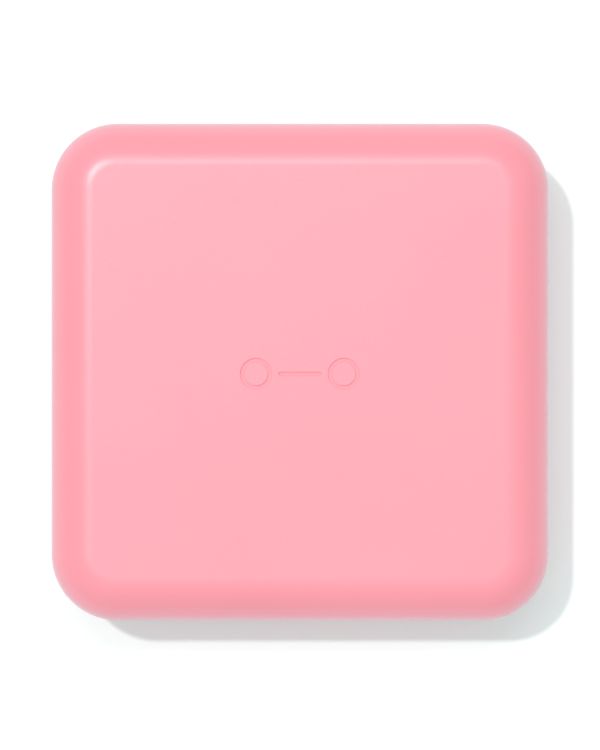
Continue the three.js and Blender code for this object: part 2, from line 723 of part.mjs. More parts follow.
function lensCaseGroup() {
  const group = new THREE.Group();
  group.add(mesh("lens_case_body", lensCaseBody(), whitePlastic));
  for (const [label, side] of [["left", -1], ["right", 1]]) {
    const capGroup = new THREE.Group();
    capGroup.add(mesh(`cap_seal_${label}`, capSeal(), clearSilicone));
    capGroup.add(mesh(`lens_cap_${label}`, lensCap(), side < 0 ? pinkPlastic : whitePlastic));
    group.add(placed(capGroup, side * wellX, 0, 0));
  }
  return placed(group, 0, lensCaseY, lensCaseZ);
}

function bottleGroup() {
  const group = new THREE.Group();
  group.add(mesh("bottle_body", bottleBody(), frostedBottle));
  group.add(mesh("bottle_nozzle", bottleNozzle(), whitePlastic));
  group.add(mesh("bottle_cap_liner", capLiner(), tapeFoam));
  group.add(mesh("bottle_cap", bottleCap(), pinkPlastic));
  group.rotation.y = Math.PI / 2;
  return placed(group, -(pocketHalfX - BOTTLE_CLEAR), bottleY, pocketFloorZ + REST_GAP + bottleRoomR);
}

function tweezersGroup() {
  const group = new THREE.Group();
  group.add(mesh("tweezers_tail", tweezersTail(), pinkPlastic));
  for (const [label, side] of [["front", -1], ["back", 1]]) {
    group.add(mesh(`tweezers_arm_${label}`, armSolid(side), whitePlastic));
    group.add(mesh(`tweezers_tip_${label}`, tweezersTip(side), clearSilicone));
  }
  const z = toolFloorZ + REST_GAP + TAIL_HEIGHT / 2;
  return placed(group, -tweezersLength / 2, tweezersY, z);
}

function applicatorGroup() {
  const group = new THREE.Group();
  group.add(mesh("applicator_handle", applicatorHandle(), pinkPlastic));
  group.add(mesh("applicator_cup", applicatorCup(), clearSilicone));
  group.rotation.y = Math.PI / 2;
  return placed(group, -applicatorHalf, applicatorY, toolFloorZ + REST_GAP + CUP_R);
}

const lensTravelCase = new THREE.Group();
lensTravelCase.add(shellGroup(), lensCaseGroup(), bottleGroup(), tweezersGroup(), applicatorGroup());

export default lensTravelCase;
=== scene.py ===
import bmesh
import bpy
import json
import math
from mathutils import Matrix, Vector


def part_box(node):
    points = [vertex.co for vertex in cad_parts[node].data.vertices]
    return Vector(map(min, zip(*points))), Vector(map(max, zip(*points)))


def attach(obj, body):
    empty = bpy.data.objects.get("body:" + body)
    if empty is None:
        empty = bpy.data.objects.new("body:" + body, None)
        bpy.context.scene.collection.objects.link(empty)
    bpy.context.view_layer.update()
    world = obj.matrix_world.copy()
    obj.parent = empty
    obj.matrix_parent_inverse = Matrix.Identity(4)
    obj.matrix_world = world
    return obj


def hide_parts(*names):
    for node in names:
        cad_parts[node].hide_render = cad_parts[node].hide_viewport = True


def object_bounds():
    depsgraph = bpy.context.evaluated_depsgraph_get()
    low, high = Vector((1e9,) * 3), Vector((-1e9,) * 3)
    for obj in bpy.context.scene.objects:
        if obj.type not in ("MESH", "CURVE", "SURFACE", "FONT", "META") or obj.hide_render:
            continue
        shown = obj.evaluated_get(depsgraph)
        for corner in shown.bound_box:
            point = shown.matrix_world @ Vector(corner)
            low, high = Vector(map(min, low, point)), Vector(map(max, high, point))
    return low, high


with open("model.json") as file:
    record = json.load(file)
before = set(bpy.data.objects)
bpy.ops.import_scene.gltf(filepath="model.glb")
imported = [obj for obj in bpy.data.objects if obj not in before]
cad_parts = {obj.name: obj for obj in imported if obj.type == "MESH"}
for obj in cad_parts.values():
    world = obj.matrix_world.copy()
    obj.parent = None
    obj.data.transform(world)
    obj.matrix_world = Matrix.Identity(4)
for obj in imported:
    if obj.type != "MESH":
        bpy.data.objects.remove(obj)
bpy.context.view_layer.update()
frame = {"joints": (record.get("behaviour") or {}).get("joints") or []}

# ---- Base of the case ----
# The bottom half of the shell, injection moulded in pink plastic with a satin finish. It has three
# hinge knuckles at the back, a bevelled back rim that stops the lid, a recess for a thumb at the
# front, and a shallow panel sunk into its underside.

MM = 0.001
NEAR = 1e-6  # points closer than this count as one while a piece is shaped
SPLINTER = 1e-7  # and closer than this once it is finished
SHELL_CORNER = 9.6 * MM
SHELL_EDGE = 6.4 * MM
SHELL_WALL = 1.8 * MM
BARREL_R = 1.9 * MM
PIN_HOLE_R = 0.85 * MM
KNUCKLE = 8.6 * MM
KNUCKLE_GAP = 0.25 * MM
KNUCKLE_WEB = 3.4 * MM
WEB_ROOT = 0.3 * MM
CHANNEL_HALF_ANGLE = math.radians(60.75)
CHANNEL_REACH = 4 * MM
RIM_GAP = 0.15 * MM
RIM_EDGE = 0.22 * MM
THUMB_HALVES = (9 * MM, 1.1 * MM, 3.2 * MM)
THUMB_DROP = 1.6 * MM
PANEL_HALF = 25 * MM
PANEL_CORNER = 5 * MM
PANEL_DEPTH = 0.25 * MM
PANEL_EDGE = 0.2 * MM
PINK = (0.98, 0.342, 0.404)
PINK_DEEP = (0.965, 0.332, 0.394)

base_low, base_high = (Vector(corner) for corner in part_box("base_shell"))
lid_high = Vector(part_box("lid_shell")[1])
hinge = Vector(next(j["pos_m"] for j in frame["joints"] if j["name"] == "lid_hinge"))
parting = hinge.z


def fresh():
    """Back to object mode, with nothing selected."""
    if bpy.context.object and bpy.context.object.mode != "OBJECT":
        bpy.ops.object.mode_set(mode="OBJECT")
    bpy.ops.object.select_all(action="DESELECT")


def take(piece):
    """Makes a piece the one that is worked on."""
    fresh()
    bpy.context.view_layer.objects.active = piece
    piece.select_set(True)
    return piece


def fix_in_place():
    """Puts the place, turn and size of the piece in hand into its mesh."""
    bpy.ops.object.transform_apply(location=True, rotation=True, scale=True)


def settle(name):
    """Names what was just added and fixes it in place."""
    piece = bpy.context.object
    piece.name = piece.data.name = name
    fix_in_place()
    return piece


def pick(kind, test):
    """Selects only the vertices, edges or faces of the open mesh that pass a test of place."""
    bpy.ops.mesh.select_mode(type=kind)
    bpy.ops.mesh.select_all(action="DESELECT")
    mesh = bmesh.from_edit_mesh(bpy.context.object.data)
    if kind == "VERT":
        chosen = [v for v in mesh.verts if test(v.co)]
    elif kind == "EDGE":
        chosen = [e for e in mesh.edges if test(e.verts[0].co, e.verts[1].co)]
    else:
        mesh.normal_update()
        chosen = [f for f in mesh.faces if test(f.calc_center_median(), f.normal)]
    for item in chosen:
        item.select_set(True)
    bmesh.update_edit_mesh(bpy.context.object.data)


def level(height):
    """A test for the edges that lie flat at one height."""
    return lambda a, b: abs(a.z - height) < NEAR and abs(b.z - height) < NEAR


def round_off(test, radius, segments):
    """Rounds the edges that pass a test, in edit mode."""
    pick("EDGE", test)
    bpy.ops.mesh.bevel(
        offset=radius, segments=segments, affect="EDGES", profile=0.5, clamp_overlap=False)


def round_edges(test, radius, segments):
    """The same for the piece in hand, from object mode and back."""
    bpy.ops.object.mode_set(mode="EDIT")
    round_off(test, radius, segments)
    bpy.ops.object.mode_set(mode="OBJECT")


def clean_up(nearest=NEAR):
    """Merges doubled vertices and turns every face outwards."""
    bpy.ops.mesh.select_all(action="SELECT")
    bpy.ops.mesh.remove_doubles(threshold=nearest)
    bpy.ops.mesh.normals_make_consistent(inside=False)


def block(name, low, high):
    """A plain block between two corners, to cut with or to shape further."""
    fresh()
    low, high = Vector(low), Vector(high)
    bpy.ops.mesh.primitive_cube_add(size=1, location=(low + high) / 2)
    bpy.context.object.scale = high - low
    return settle(name)


def moulding(name, low, high, corner, top=0.0, bottom=0.0, steps=12):
    """A block with round corners from above, and rounded top and bottom edges."""
    piece = block(name, low, high)
    height = high[2] - low[2]
    bpy.ops.object.mode_set(mode="EDIT")
    round_off(lambda a, b: abs(a.z - b.z) > height / 2, corner, steps)
    clean_up()
    if top:
        round_off(level(high[2]), top, steps // 2 + 2)
    if bottom:
        round_off(level(low[2]), bottom, steps // 2 + 2)
    clean_up()
    bpy.ops.object.mode_set(mode="OBJECT")
    return piece


def square_moulding(name, half, z0, z1, corner, **edges):
    """A moulding that is square from above and stands on the middle of the case."""
    return moulding(name, (-half, -half, z0), (half, half, z1), corner, **edges)


def rod(name, radius, start, end, sides=48):
    """A rod between two points on a line along X, Y or Z."""
    fresh()
    start, end = Vector(start), Vector(end)
    run = end - start
    turn = run.to_track_quat("Z", "Y").to_euler()
    bpy.ops.mesh.primitive_cylinder_add(
        vertices=sides, radius=radius, depth=run.length, location=(start + end) / 2, rotation=turn)
    return settle(name)


def apply_modifier(piece, kind, **settings):
    """Adds a modifier to a piece and applies it at once."""
    take(piece)
    bpy.ops.object.modifier_add(type=kind)
    added = piece.modifiers[-1]
    for key, value in settings.items():
        setattr(added, key, value)
    bpy.ops.object.modifier_apply(modifier=added.name)


def work(piece, other, how="DIFFERENCE"):
    """Cuts another solid from a piece, or joins it on, and uses that solid up."""
    apply_modifier(piece, "BOOLEAN", operation=how, object=other, solver="EXACT")
    if not piece.data.polygons:
        raise RuntimeError(f"{other.name} left nothing of {piece.name}")
    bpy.data.objects.remove(other)


def shell_half(name, rim, keep_below):
    """One half of the shell, split at its rim and hollowed to an even wall."""
    piece = square_moulding(
        name, base_high.x, base_low.z, lid_high.z, SHELL_CORNER,
        top=SHELL_EDGE, bottom=SHELL_EDGE, steps=24)
    bpy.ops.object.mode_set(mode="EDIT")
    bpy.ops.mesh.select_all(action="SELECT")
    bpy.ops.mesh.bisect(
        plane_co=(0, 0, rim), plane_no=(0, 0, 1),
        clear_outer=keep_below, clear_inner=not keep_below)
    clean_up()
    bpy.ops.object.mode_set(mode="OBJECT")
    apply_modifier(piece, "SOLIDIFY", thickness=SHELL_WALL, offset=-1, use_even_offset=True)
    round_edges(level(rim), RIM_EDGE, 3)
    return piece


def hinge_channel():
    """The wedge of air along the back, with its point on the hinge's axis."""
    past_side = base_high.x + 4 * MM
    rise = CHANNEL_REACH * math.tan(CHANNEL_HALF_ANGLE)
    wedge = block(
        "channel",
        (-past_side, hinge.y, hinge.z - rise),
        (past_side, hinge.y + CHANNEL_REACH, hinge.z + rise))
    bpy.ops.object.mode_set(mode="EDIT")
    pick("VERT", lambda v: v.y < hinge.y + NEAR)
    bpy.ops.transform.resize(value=(1, 1, 0), center_override=hinge)
    clean_up()
    bpy.ops.object.mode_set(mode="OBJECT")
    return wedge


def knuckle_ends(index):
    """Where one of the five knuckles starts and ends along the hinge, counted from the left."""
    pitch = KNUCKLE + KNUCKLE_GAP
    middle = (index - 2) * pitch
    return middle - KNUCKLE / 2, middle + KNUCKLE / 2


def barrel(index, radius, spare=0.0):
    """The round of one knuckle, or with some to spare the room that it turns in."""
    start, end = knuckle_ends(index)
    return rod(
        "barrel", radius, (start - spare, hinge.y, hinge.z), (end + spare, hinge.y, hinge.z))


def hang(piece, own, others, side):
    """Gives a shell half its own knuckles, and room for the other half's."""
    work(piece, hinge_channel())
    for index in others:
        work(piece, barrel(index, BARREL_R + KNUCKLE_GAP, KNUCKLE_GAP))
    inner_wall = base_high.y - SHELL_WALL
    for index in own:
        start, end = knuckle_ends(index)
        low = min(hinge.z, hinge.z + side * KNUCKLE_WEB)
        web = block(
            "web",
            (start, hinge.y - BARREL_R, low),
            (end, inner_wall + WEB_ROOT, low + KNUCKLE_WEB),
        )
        knuckle = barrel(index, BARREL_R)
        work(knuckle, web, "UNION")
        work(piece, knuckle, "UNION")
    reach = knuckle_ends(4)[1] + MM
    work(piece, rod("pin_hole", PIN_HOLE_R, (-reach, hinge.y, hinge.z), (reach, hinge.y, hinge.z)))


base = shell_half("case_base", parting - RIM_GAP, True)
hang(base, (0, 2, 4), (1, 3), -1)

fresh()
bpy.ops.mesh.primitive_uv_sphere_add(
    segments=64, ring_count=32, location=(0, -base_high.y, parting - RIM_GAP - THUMB_DROP))
bpy.context.object.scale = THUMB_HALVES
work(base, settle("thumb"))

work(base, square_moulding(
    "panel", PANEL_HALF, base_low.z - 0.2 * MM, base_low.z + PANEL_DEPTH, PANEL_CORNER,
    top=PANEL_EDGE))


def material(name):
    """A new material, with its nodes and links."""
    made = bpy.data.materials.new(name)
    made.use_nodes = True
    return made, made.node_tree.nodes, made.node_tree.links


def noise(nodes, links, where, scale, detail=2.0):
    """A soft cloudy pattern."""
    made = nodes.new("ShaderNodeTexNoise")
    made.inputs["Scale"].default_value = scale
    made.inputs["Detail"].default_value = detail
    links.new(where, made.inputs["Vector"])
    return made.outputs["Fac"]


def spread(nodes, links, source, low, high):
    """Brings a pattern into a range of its own."""
    made = nodes.new("ShaderNodeMapRange")
    made.inputs["To Min"].default_value = low
    made.inputs["To Max"].default_value = high
    links.new(source, made.inputs["Value"])
    return made.outputs["Result"]


def blended(nodes, links, source, dark, light):
    """Turns a pattern into a change between two colours."""
    made = nodes.new("ShaderNodeValToRGB")
    made.color_ramp.elements[0].position = 0.3
    made.color_ramp.elements[0].color = (*dark, 1)
    made.color_ramp.elements[1].position = 0.7
    made.color_ramp.elements[1].color = (*light, 1)
    links.new(source, made.inputs["Fac"])
    return made.outputs["Color"]


def relief(nodes, links, source, shader, strength, depth):
    """Lets a pattern stand proud of the surface, by a depth in metres."""
    made = nodes.new("ShaderNodeBump")
    made.inputs["Strength"].default_value = strength
    made.inputs["Distance"].default_value = depth
    links.new(source, made.inputs["Height"])
    links.new(made.outputs["Normal"], shader.inputs["Normal"])


def moulded_plastic(name, colour, deep, roughness, speckle=2600.0, glow=0.0, clear=0.0):
    """Moulded plastic: a fine mould grain, slow changes of colour where the melt flowed, faint
    rubbed marks in the gloss, and a soft skin that lightens towards the rims."""
    made, nodes, links = material(name)
    shader = nodes["Principled BSDF"]
    place = nodes.new("ShaderNodeTexCoord").outputs["Object"]
    flow = noise(nodes, links, place, 38.0)
    links.new(blended(nodes, links, flow, deep, colour), shader.inputs["Base Color"])
    rubbed = noise(nodes, links, place, 420.0, 6.0)
    links.new(
        spread(nodes, links, rubbed, roughness - 0.05, roughness + 0.05),
        shader.inputs["Roughness"])
    relief(nodes, links, noise(nodes, links, place, speckle, 3.0), shader, 0.5, 0.00003)
    shader.inputs["IOR"].default_value = 1.49
    shader.inputs["Subsurface Weight"].default_value = glow
    shader.inputs["Subsurface Scale"].default_value = 0.002
    shader.inputs["Transmission Weight"].default_value = clear
    shader.inputs["Coat Weight"].default_value = 0.14
    shader.inputs["Coat Roughness"].default_value = 0.27
    shader.inputs["Sheen Weight"].default_value = 0.32
    shader.inputs["Sheen Tint"].default_value = (0.58, 0.84, 1, 1)
    shader.inputs["Sheen Roughness"].default_value = 0.45
    return made


pink_satin = moulded_plastic("pink_satin_plastic", PINK, PINK_DEEP, 0.34)


def finish(piece, paint, body, nodes, smooth=32):
    """Merges the splinters that cuts leave, smooths and paints a piece, and lets it stand for its
    CAD nodes on their body."""
    take(piece)
    welded = bmesh.new()
    welded.from_mesh(piece.data)
    bmesh.ops.remove_doubles(welded, verts=welded.verts, dist=SPLINTER)
    welded.to_mesh(piece.data)
    welded.free()
    bpy.ops.object.shade_smooth_by_angle(angle=math.radians(smooth))
    apply_modifier(piece, "WEIGHTED_NORMAL", keep_sharp=True)
    piece.data.materials.clear()
    piece.data.materials.append(paint)
    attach(piece, body)
    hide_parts(*nodes)
    return piece


finish(base, pink_satin, "base", ["base_shell"])

# ---- Lid of the case ----
# The top half of the shell, moulded like the base, with two hinge knuckles, a raised lip round the
# mirror, a bead that snaps into the tray, and a small lens-case sign pressed into its top.

LIP_INNER = 28.4 * MM
LIP_WIDTH = 0.9 * MM
LIP_HEIGHT = 0.9 * MM
LIP_CORNER = 4 * MM
LIP_EDGE = 0.3 * MM
BEAD_R = 0.5 * MM
BEAD_HALF = 9 * MM
BEAD_RISE = 0.95 * MM
SIGN_DEPTH = 0.28 * MM
SIGN_Y = -0.3 * MM
SIGN_WELL_X = 6.3 * MM
SIGN_WELL_R = 2.3 * MM
SIGN_WELL_INNER = 1.65 * MM
SIGN_BAR_HALVES = (3.1 * MM, 0.32 * MM)
SIGN_BAR_CORNER = 0.3 * MM


def tube_ring(name, outer, inner, middle, depth, sides=96):
    """A flat ring with square edges that lies level."""
    half = Vector((0, 0, depth / 2))
    piece = rod(name, outer, middle - half, middle + half, sides)
    bpy.ops.object.mode_set(mode="EDIT")
    pick("FACE", lambda c, n: abs(n.z) > 0.9)
    bpy.ops.mesh.inset(thickness=outer - inner)
    bpy.ops.mesh.bridge_edge_loops()
    bpy.ops.object.mode_set(mode="OBJECT")
    return piece


lid = shell_half("case_lid", parting + RIM_GAP, False)
hang(lid, (1, 3), (0, 2, 4), 1)

roof = lid_high.z - SHELL_WALL
lip = square_moulding(
    "lip", LIP_INNER + LIP_WIDTH, roof - LIP_HEIGHT, roof + 0.4 * MM, LIP_CORNER + LIP_WIDTH,
    bottom=LIP_EDGE)
work(lip, square_moulding("lip_hole", LIP_INNER, roof - 2 * MM, roof + 0.01 * MM, LIP_CORNER))
work(lid, lip, "UNION")

bead_z = parting + RIM_GAP + BEAD_RISE
inner_front = -(base_high.y - SHELL_WALL)
work(lid, rod(
    "bead", BEAD_R, (-BEAD_HALF, inner_front, bead_z), (BEAD_HALF, inner_front, bead_z), 24),
    "UNION")

sign = Vector((0, SIGN_Y, lid_high.z))
for side in (-1, 1):
    ring = sign + Vector((side * SIGN_WELL_X, 0, 0))
    work(lid, tube_ring("well_sign", SIGN_WELL_R, SIGN_WELL_INNER, ring, 2 * SIGN_DEPTH))
bar_half = Vector((*SIGN_BAR_HALVES, SIGN_DEPTH))
work(lid, moulding("bar_sign", sign - bar_half, sign + bar_half, SIGN_BAR_CORNER))
finish(lid, pink_satin, "lid", ["lid_shell"])

# ---- Hinge wire ----
# A straight piece of hard-drawn steel wire, pushed through all five knuckles. Its ends are rounded
# over so that it starts easily, and fine draw lines run along it.

WIRE_R = 0.75 * MM
WIRE_END = 0.3 * MM
STEEL_DARK = (0.5, 0.51, 0.53)
STEEL_LIGHT = (0.68, 0.69, 0.71)

wire_low, wire_high = (Vector(corner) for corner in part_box("hinge_pin"))
wire = rod(
    "hinge_wire", WIRE_R, (wire_low.x, hinge.y, hinge.z), (wire_high.x, hinge.y, hinge.z), 40)
round_edges(lambda a, b: abs(a.x - b.x) < NEAR, WIRE_END, 4)


def stretched(nodes, links, stretch):
    """Object coordinates, stretched so that a pattern runs in lines."""
    place = nodes.new("ShaderNodeTexCoord")
    scaled = nodes.new("ShaderNodeMapping")
    scaled.inputs["Scale"].default_value = stretch
    links.new(place.outputs["Object"], scaled.inputs["Vector"])
    return scaled.outputs["Vector"]


drawn_steel, nodes, links = material("drawn_steel")
shader = nodes["Principled BSDF"]
draw_lines = noise(nodes, links, stretched(nodes, links, (40, 2600, 2600)), 1.0, 3.0)
links.new(
    blended(nodes, links, draw_lines, STEEL_DARK, STEEL_LIGHT), shader.inputs["Base Color"])
links.new(spread(nodes, links, draw_lines, 0.2, 0.38), shader.inputs["Roughness"])
relief(nodes, links, draw_lines, shader, 0.3, 0.00002)
shader.inputs["Metallic"].default_value = 1
finish(wire, drawn_steel, "base", ["hinge_pin"])

# ---- Mirror ----
# A square of silvered glass with round corners and ground edges, stuck inside the lid's lip. The
# glass keeps a faint haze from wiping.

MIRROR_CORNER = 3.6 * MM
MIRROR_EDGE = 0.25 * MM
SILVER_DARK = (0.86, 0.89, 0.9)
SILVER_LIGHT = (0.91, 0.93, 0.94)

mirror_low, mirror_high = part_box("mirror")
mirror_plate = moulding(
    "mirror_plate", mirror_low, mirror_high, MIRROR_CORNER, top=MIRROR_EDGE, bottom=MIRROR_EDGE)

silvered, nodes, links = material("silvered_glass")
shader = nodes["Principled BSDF"]
place = nodes.new("ShaderNodeTexCoord").outputs["Object"]
haze = noise(nodes, links, stretched(nodes, links, (60, 220, 60)), 1.0, 4.0)
links.new(blended(nodes, links, haze, SILVER_DARK, SILVER_LIGHT), shader.inputs["Base Color"])
links.new(spread(nodes, links, haze, 0.015, 0.06), shader.inputs["Roughness"])
relief(nodes, links, noise(nodes, links, place, 90.0), shader, 0.04, 0.00001)
shader.inputs["Metallic"].default_value = 1
finish(mirror_plate, silvered, "lid", ["mirror"])

# ---- Foam tape ----
# A die-cut square of white closed-cell foam with glue on both faces, which holds the mirror to
# the roof of the lid.

FOAM_CORNER = 3.6 * MM
FOAM_EDGE = 0.06 * MM
FOAM_LIGHT = (0.78, 0.78, 0.76)
FOAM_DARK = (0.62, 0.62, 0.6)

foam_low, foam_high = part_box("mirror_tape")
foam_square = moulding(
    "foam_square", foam_low, foam_high, FOAM_CORNER, top=FOAM_EDGE, bottom=FOAM_EDGE)

foam, nodes, links = material("closed_cell_foam")
shader = nodes["Principled BSDF"]
place = nodes.new("ShaderNodeTexCoord").outputs["Object"]
cells = nodes.new("ShaderNodeTexVoronoi")
cells.inputs["Scale"].default_value = 2600.0
links.new(place, cells.inputs["Vector"])
links.new(
    blended(nodes, links, cells.outputs["Distance"], FOAM_LIGHT, FOAM_DARK),
    shader.inputs["Base Color"])
links.new(
    spread(nodes, links, noise(nodes, links, place, 900.0), 0.82, 0.95), shader.inputs["Roughness"])
relief(nodes, links, cells.outputs["Distance"], shader, 0.6, 0.00008)
finish(foam_square, foam, "lid", ["mirror_tape"])

# ---- Tray ----
# One thin moulding in white plastic that drops into the base. It has a rim all round, a flat deck,
# a pocket for each thing, a finger trench across the three tool pockets, and a notch for the hinge.

TRAY_HALF = 33.9 * MM
TRAY_CORNER = 7.5 * MM
TRAY_WALL = 1.0 * MM
SKIRT_Z = 5.4 * MM
DECK_Z = 12.4 * MM
TRAY_UNDER_R = 4.3 * MM
TRAY_RIM_EDGE = 0.3 * MM
DECK_FILLET = 0.5 * MM
POCKET_HALF_X = 31.0 * MM
POCKET_FILLET = 0.7 * MM
TRENCH_HALF = 8.0 * MM
TRENCH_Z = 8.6 * MM
TRENCH_CORNER = 1.4 * MM
TRENCH_FILLET = 1.2 * MM
HINGE_ROOM_HALF = 22.5 * MM
HINGE_ROOM_Y = 31.6 * MM
GROOVE_R = 0.85 * MM
GROOVE_SPARE = 0.35 * MM
WHITE = (0.86, 0.85, 0.82)
WHITE_DEEP = (0.82, 0.81, 0.785)

tray_low, tray_high = (Vector(corner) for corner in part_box("inner_tray"))
tray = square_moulding(
    "moulded_tray", TRAY_HALF, SKIRT_Z, tray_high.z, TRAY_CORNER, top=TRAY_RIM_EDGE)
inside = TRAY_HALF - TRAY_WALL
inside_corner = TRAY_CORNER - TRAY_WALL
work(tray, square_moulding(
    "above_deck", inside, DECK_Z, tray_high.z + MM, inside_corner, bottom=DECK_FILLET))
work(tray, square_moulding(
    "below_deck", inside, SKIRT_Z - MM, DECK_Z - TRAY_WALL, inside_corner, top=DECK_FILLET))

# Each pocket is its half width, corner radius, place from front to back, and floor height. All the
# walls go in before any of the rooms, so that no wall fills another pocket.
lens_pocket = (14.4 * MM, 14.4 * MM, 16.2 * MM, 2.9 * MM)
bottle_pocket = (6.6 * MM, 1.5 * MM, -5.8 * MM, 2.9 * MM)
tweezers_pocket = (5.7 * MM, 1.5 * MM, -19.1 * MM, 7.5 * MM)
applicator_pocket = (3.3 * MM, 0.8 * MM, -29.1 * MM, 7.5 * MM)
pockets = [lens_pocket, bottle_pocket, tweezers_pocket, applicator_pocket]

for half, corner, y, floor_z in pockets:
    reach = POCKET_HALF_X + TRAY_WALL
    work(tray, moulding(
        "pocket_wall",
        (-reach, y - half - TRAY_WALL, floor_z - TRAY_WALL),
        (reach, y + half + TRAY_WALL, DECK_Z - 0.3 * MM),
        corner + TRAY_WALL,
        bottom=POCKET_FILLET,
    ), "UNION")
reach = HINGE_ROOM_HALF + TRAY_WALL
work(tray, block(
    "hinge_wall",
    (-reach, HINGE_ROOM_Y - TRAY_WALL, DECK_Z - 0.6 * MM),
    (reach, TRAY_HALF - 0.4 * MM, tray_high.z - 0.05 * MM),
), "UNION")
for half, corner, y, floor_z in pockets:
    work(tray, moulding(
        "pocket_room",
        (-POCKET_HALF_X, y - half, floor_z),
        (POCKET_HALF_X, y + half, DECK_Z + 1.2 * MM),
        corner,
        bottom=POCKET_FILLET * 0.9,
    ))
work(tray, moulding(
    "finger_trench",
    (-TRENCH_HALF, applicator_pocket[2], TRENCH_Z),
    (TRENCH_HALF, bottle_pocket[2], DECK_Z + 1.3 * MM),
    TRENCH_CORNER,
    bottom=TRENCH_FILLET,
))
work(tray, block(
    "hinge_room",
    (-HINGE_ROOM_HALF, HINGE_ROOM_Y, SKIRT_Z - 2 * MM),
    (HINGE_ROOM_HALF, TRAY_HALF + 2 * MM, tray_high.z + 2 * MM),
))
groove_reach = BEAD_HALF + GROOVE_SPARE
work(tray, rod(
    "bead_groove", GROOVE_R,
    (-groove_reach, inner_front, bead_z), (groove_reach, inner_front, bead_z), 32))
work(tray, square_moulding(
    "tray_room", TRAY_HALF, tray_low.z, lid_high.z, TRAY_CORNER, bottom=TRAY_UNDER_R), "INTERSECT")

white_plastic = moulded_plastic(
    "white_tray_plastic", WHITE, WHITE_DEEP, 0.36, speckle=2200.0, glow=0.08)
finish(tray, white_plastic, "base", ["inner_tray"])

# ---- Lens case ----
# A white moulding with two wells for soaking a pair of lenses. Each well is the inside of a neck
# with two thread lugs on it, and the floors of the wells are rounded so that a lens slides up.

WELL_X = 16.6 * MM
CASE_Y = 16.2 * MM
CASE_Z = 3.0 * MM
SLAB = 4.6 * MM
SLAB_R = 14.0 * MM
SLAB_EDGE = 1.2 * MM
NECK_R = 11.1 * MM
NECK_TOP = 12.517 * MM
RIM_ROUND = 0.25 * MM
WELL_R = 9.8 * MM
WELL_FLOOR = 1.2 * MM
WELL_BOWL = 3 * MM
WELL_CUT_TOP = 14 * MM
LUG_DEPTH = 0.7 * MM
LUG_HEIGHT = 0.7 * MM
LUG_TURN = math.radians(101)
LUG_ROOT = 0.15 * MM
LUG_TAPER = 0.6
LUG_STEPS = 14
LENS_LUG_Z = 9.258 * MM
LENS_LEAD = 4 * MM


def bent_lug(name, centre, axis, wall, crest, lead, start):
    """A thread lug: a bar that is wound round an axis and sinks into its wall at both ends."""
    fresh()
    low, high = sorted((wall - LUG_ROOT * math.copysign(1, crest - wall), crest))
    piece = block(name, (low, -0.05 * MM, -LUG_HEIGHT / 2), (high, 0.05 * MM, LUG_HEIGHT / 2))
    bpy.ops.object.mode_set(mode="EDIT")
    pick("FACE", lambda c, n: abs(n.y) < 0.5)
    bpy.ops.mesh.delete(type="FACE")
    pick("FACE", lambda c, n: n.y < 0)
    bpy.ops.mesh.delete(type="FACE")
    pick("VERT", lambda v: abs(v.x - crest) < NEAR)
    bpy.ops.transform.resize(value=(1, 1, LUG_TAPER), center_override=(crest, 0, 0))
    bpy.ops.object.mode_set(mode="OBJECT")
    apply_modifier(
        piece, "SCREW", angle=LUG_TURN, screw_offset=lead * LUG_TURN / math.tau, steps=LUG_STEPS,
        render_steps=LUG_STEPS, axis="Z")
    bpy.ops.object.mode_set(mode="EDIT")
    bpy.ops.mesh.select_all(action="SELECT")
    bpy.ops.mesh.region_to_loop()
    bpy.ops.mesh.edge_face_add()
    clean_up()
    bpy.ops.object.mode_set(mode="OBJECT")
    piece.rotation_euler = (0, 0, start - LUG_TURN / 2)
    fix_in_place()
    if axis.x > 0.5:
        piece.rotation_euler = (0, math.radians(90), 0)
        fix_in_place()
    piece.location = centre
    fix_in_place()
    return piece


def add_lugs(piece, centre, axis, wall, crest, lead):
    """Two lugs, half a turn apart."""
    for start in (0, math.pi):
        work(piece, bent_lug("lug", centre, axis, wall, crest, lead, start), "UNION")


UP = Vector((0, 0, 1))
case_low, case_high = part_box("lens_case_body")
lens_case = moulding(
    "lens_case", case_low, (case_high[0], case_high[1], CASE_Z + SLAB), SLAB_R,
    top=SLAB_EDGE, bottom=SLAB_EDGE, steps=24)
for side in (-1, 1):
    middle = Vector((side * WELL_X, CASE_Y, CASE_Z))
    neck = rod("neck", NECK_R, middle + UP * SLAB / 2, middle + UP * NECK_TOP, 96)
    round_edges(level(CASE_Z + NECK_TOP), RIM_ROUND, 3)
    add_lugs(neck, middle + UP * LENS_LUG_Z, UP, NECK_R, NECK_R + LUG_DEPTH, LENS_LEAD)
    work(lens_case, neck, "UNION")
    well = rod("well", WELL_R, middle + UP * WELL_FLOOR, middle + UP * WELL_CUT_TOP, 96)
    round_edges(level(CASE_Z + WELL_FLOOR), WELL_BOWL, 8)
    work(lens_case, well)
finish(lens_case, white_plastic, "base", ["lens_case_body"])

# ---- Screw caps of the lens case ----
# Two fluted caps, pink for the left lens and white for the right, each moulded with a dished top.
# A raised letter in the dish tells left from right.

CAP_R = 13.8 * MM
CAP_BORE_R = 12.1 * MM
CAP_TOP = 1.5 * MM
CAP_EDGE = 0.8 * MM
CAP_FLUTES = 30
FLUTE_DEPTH = 0.35 * MM
FLUTE_STEPS = ((0.0, 0.08, 1.0), (0.08, 0.2, 0.8), (0.2, 0.32, 0.35))
DISH_R = 10.6 * MM
DISH_DEPTH = 0.5 * MM
DISH_FILLET = 0.25 * MM
STROKE = 1.0 * MM
LETTER_HEIGHT = 5.2 * MM
CAP_LUG_DROP = 1 * MM  # a cap's lugs catch under the neck's
CAP_PINK = (0.93, 0.3, 0.36)
CAP_PINK_DEEP = (0.9, 0.28, 0.34)


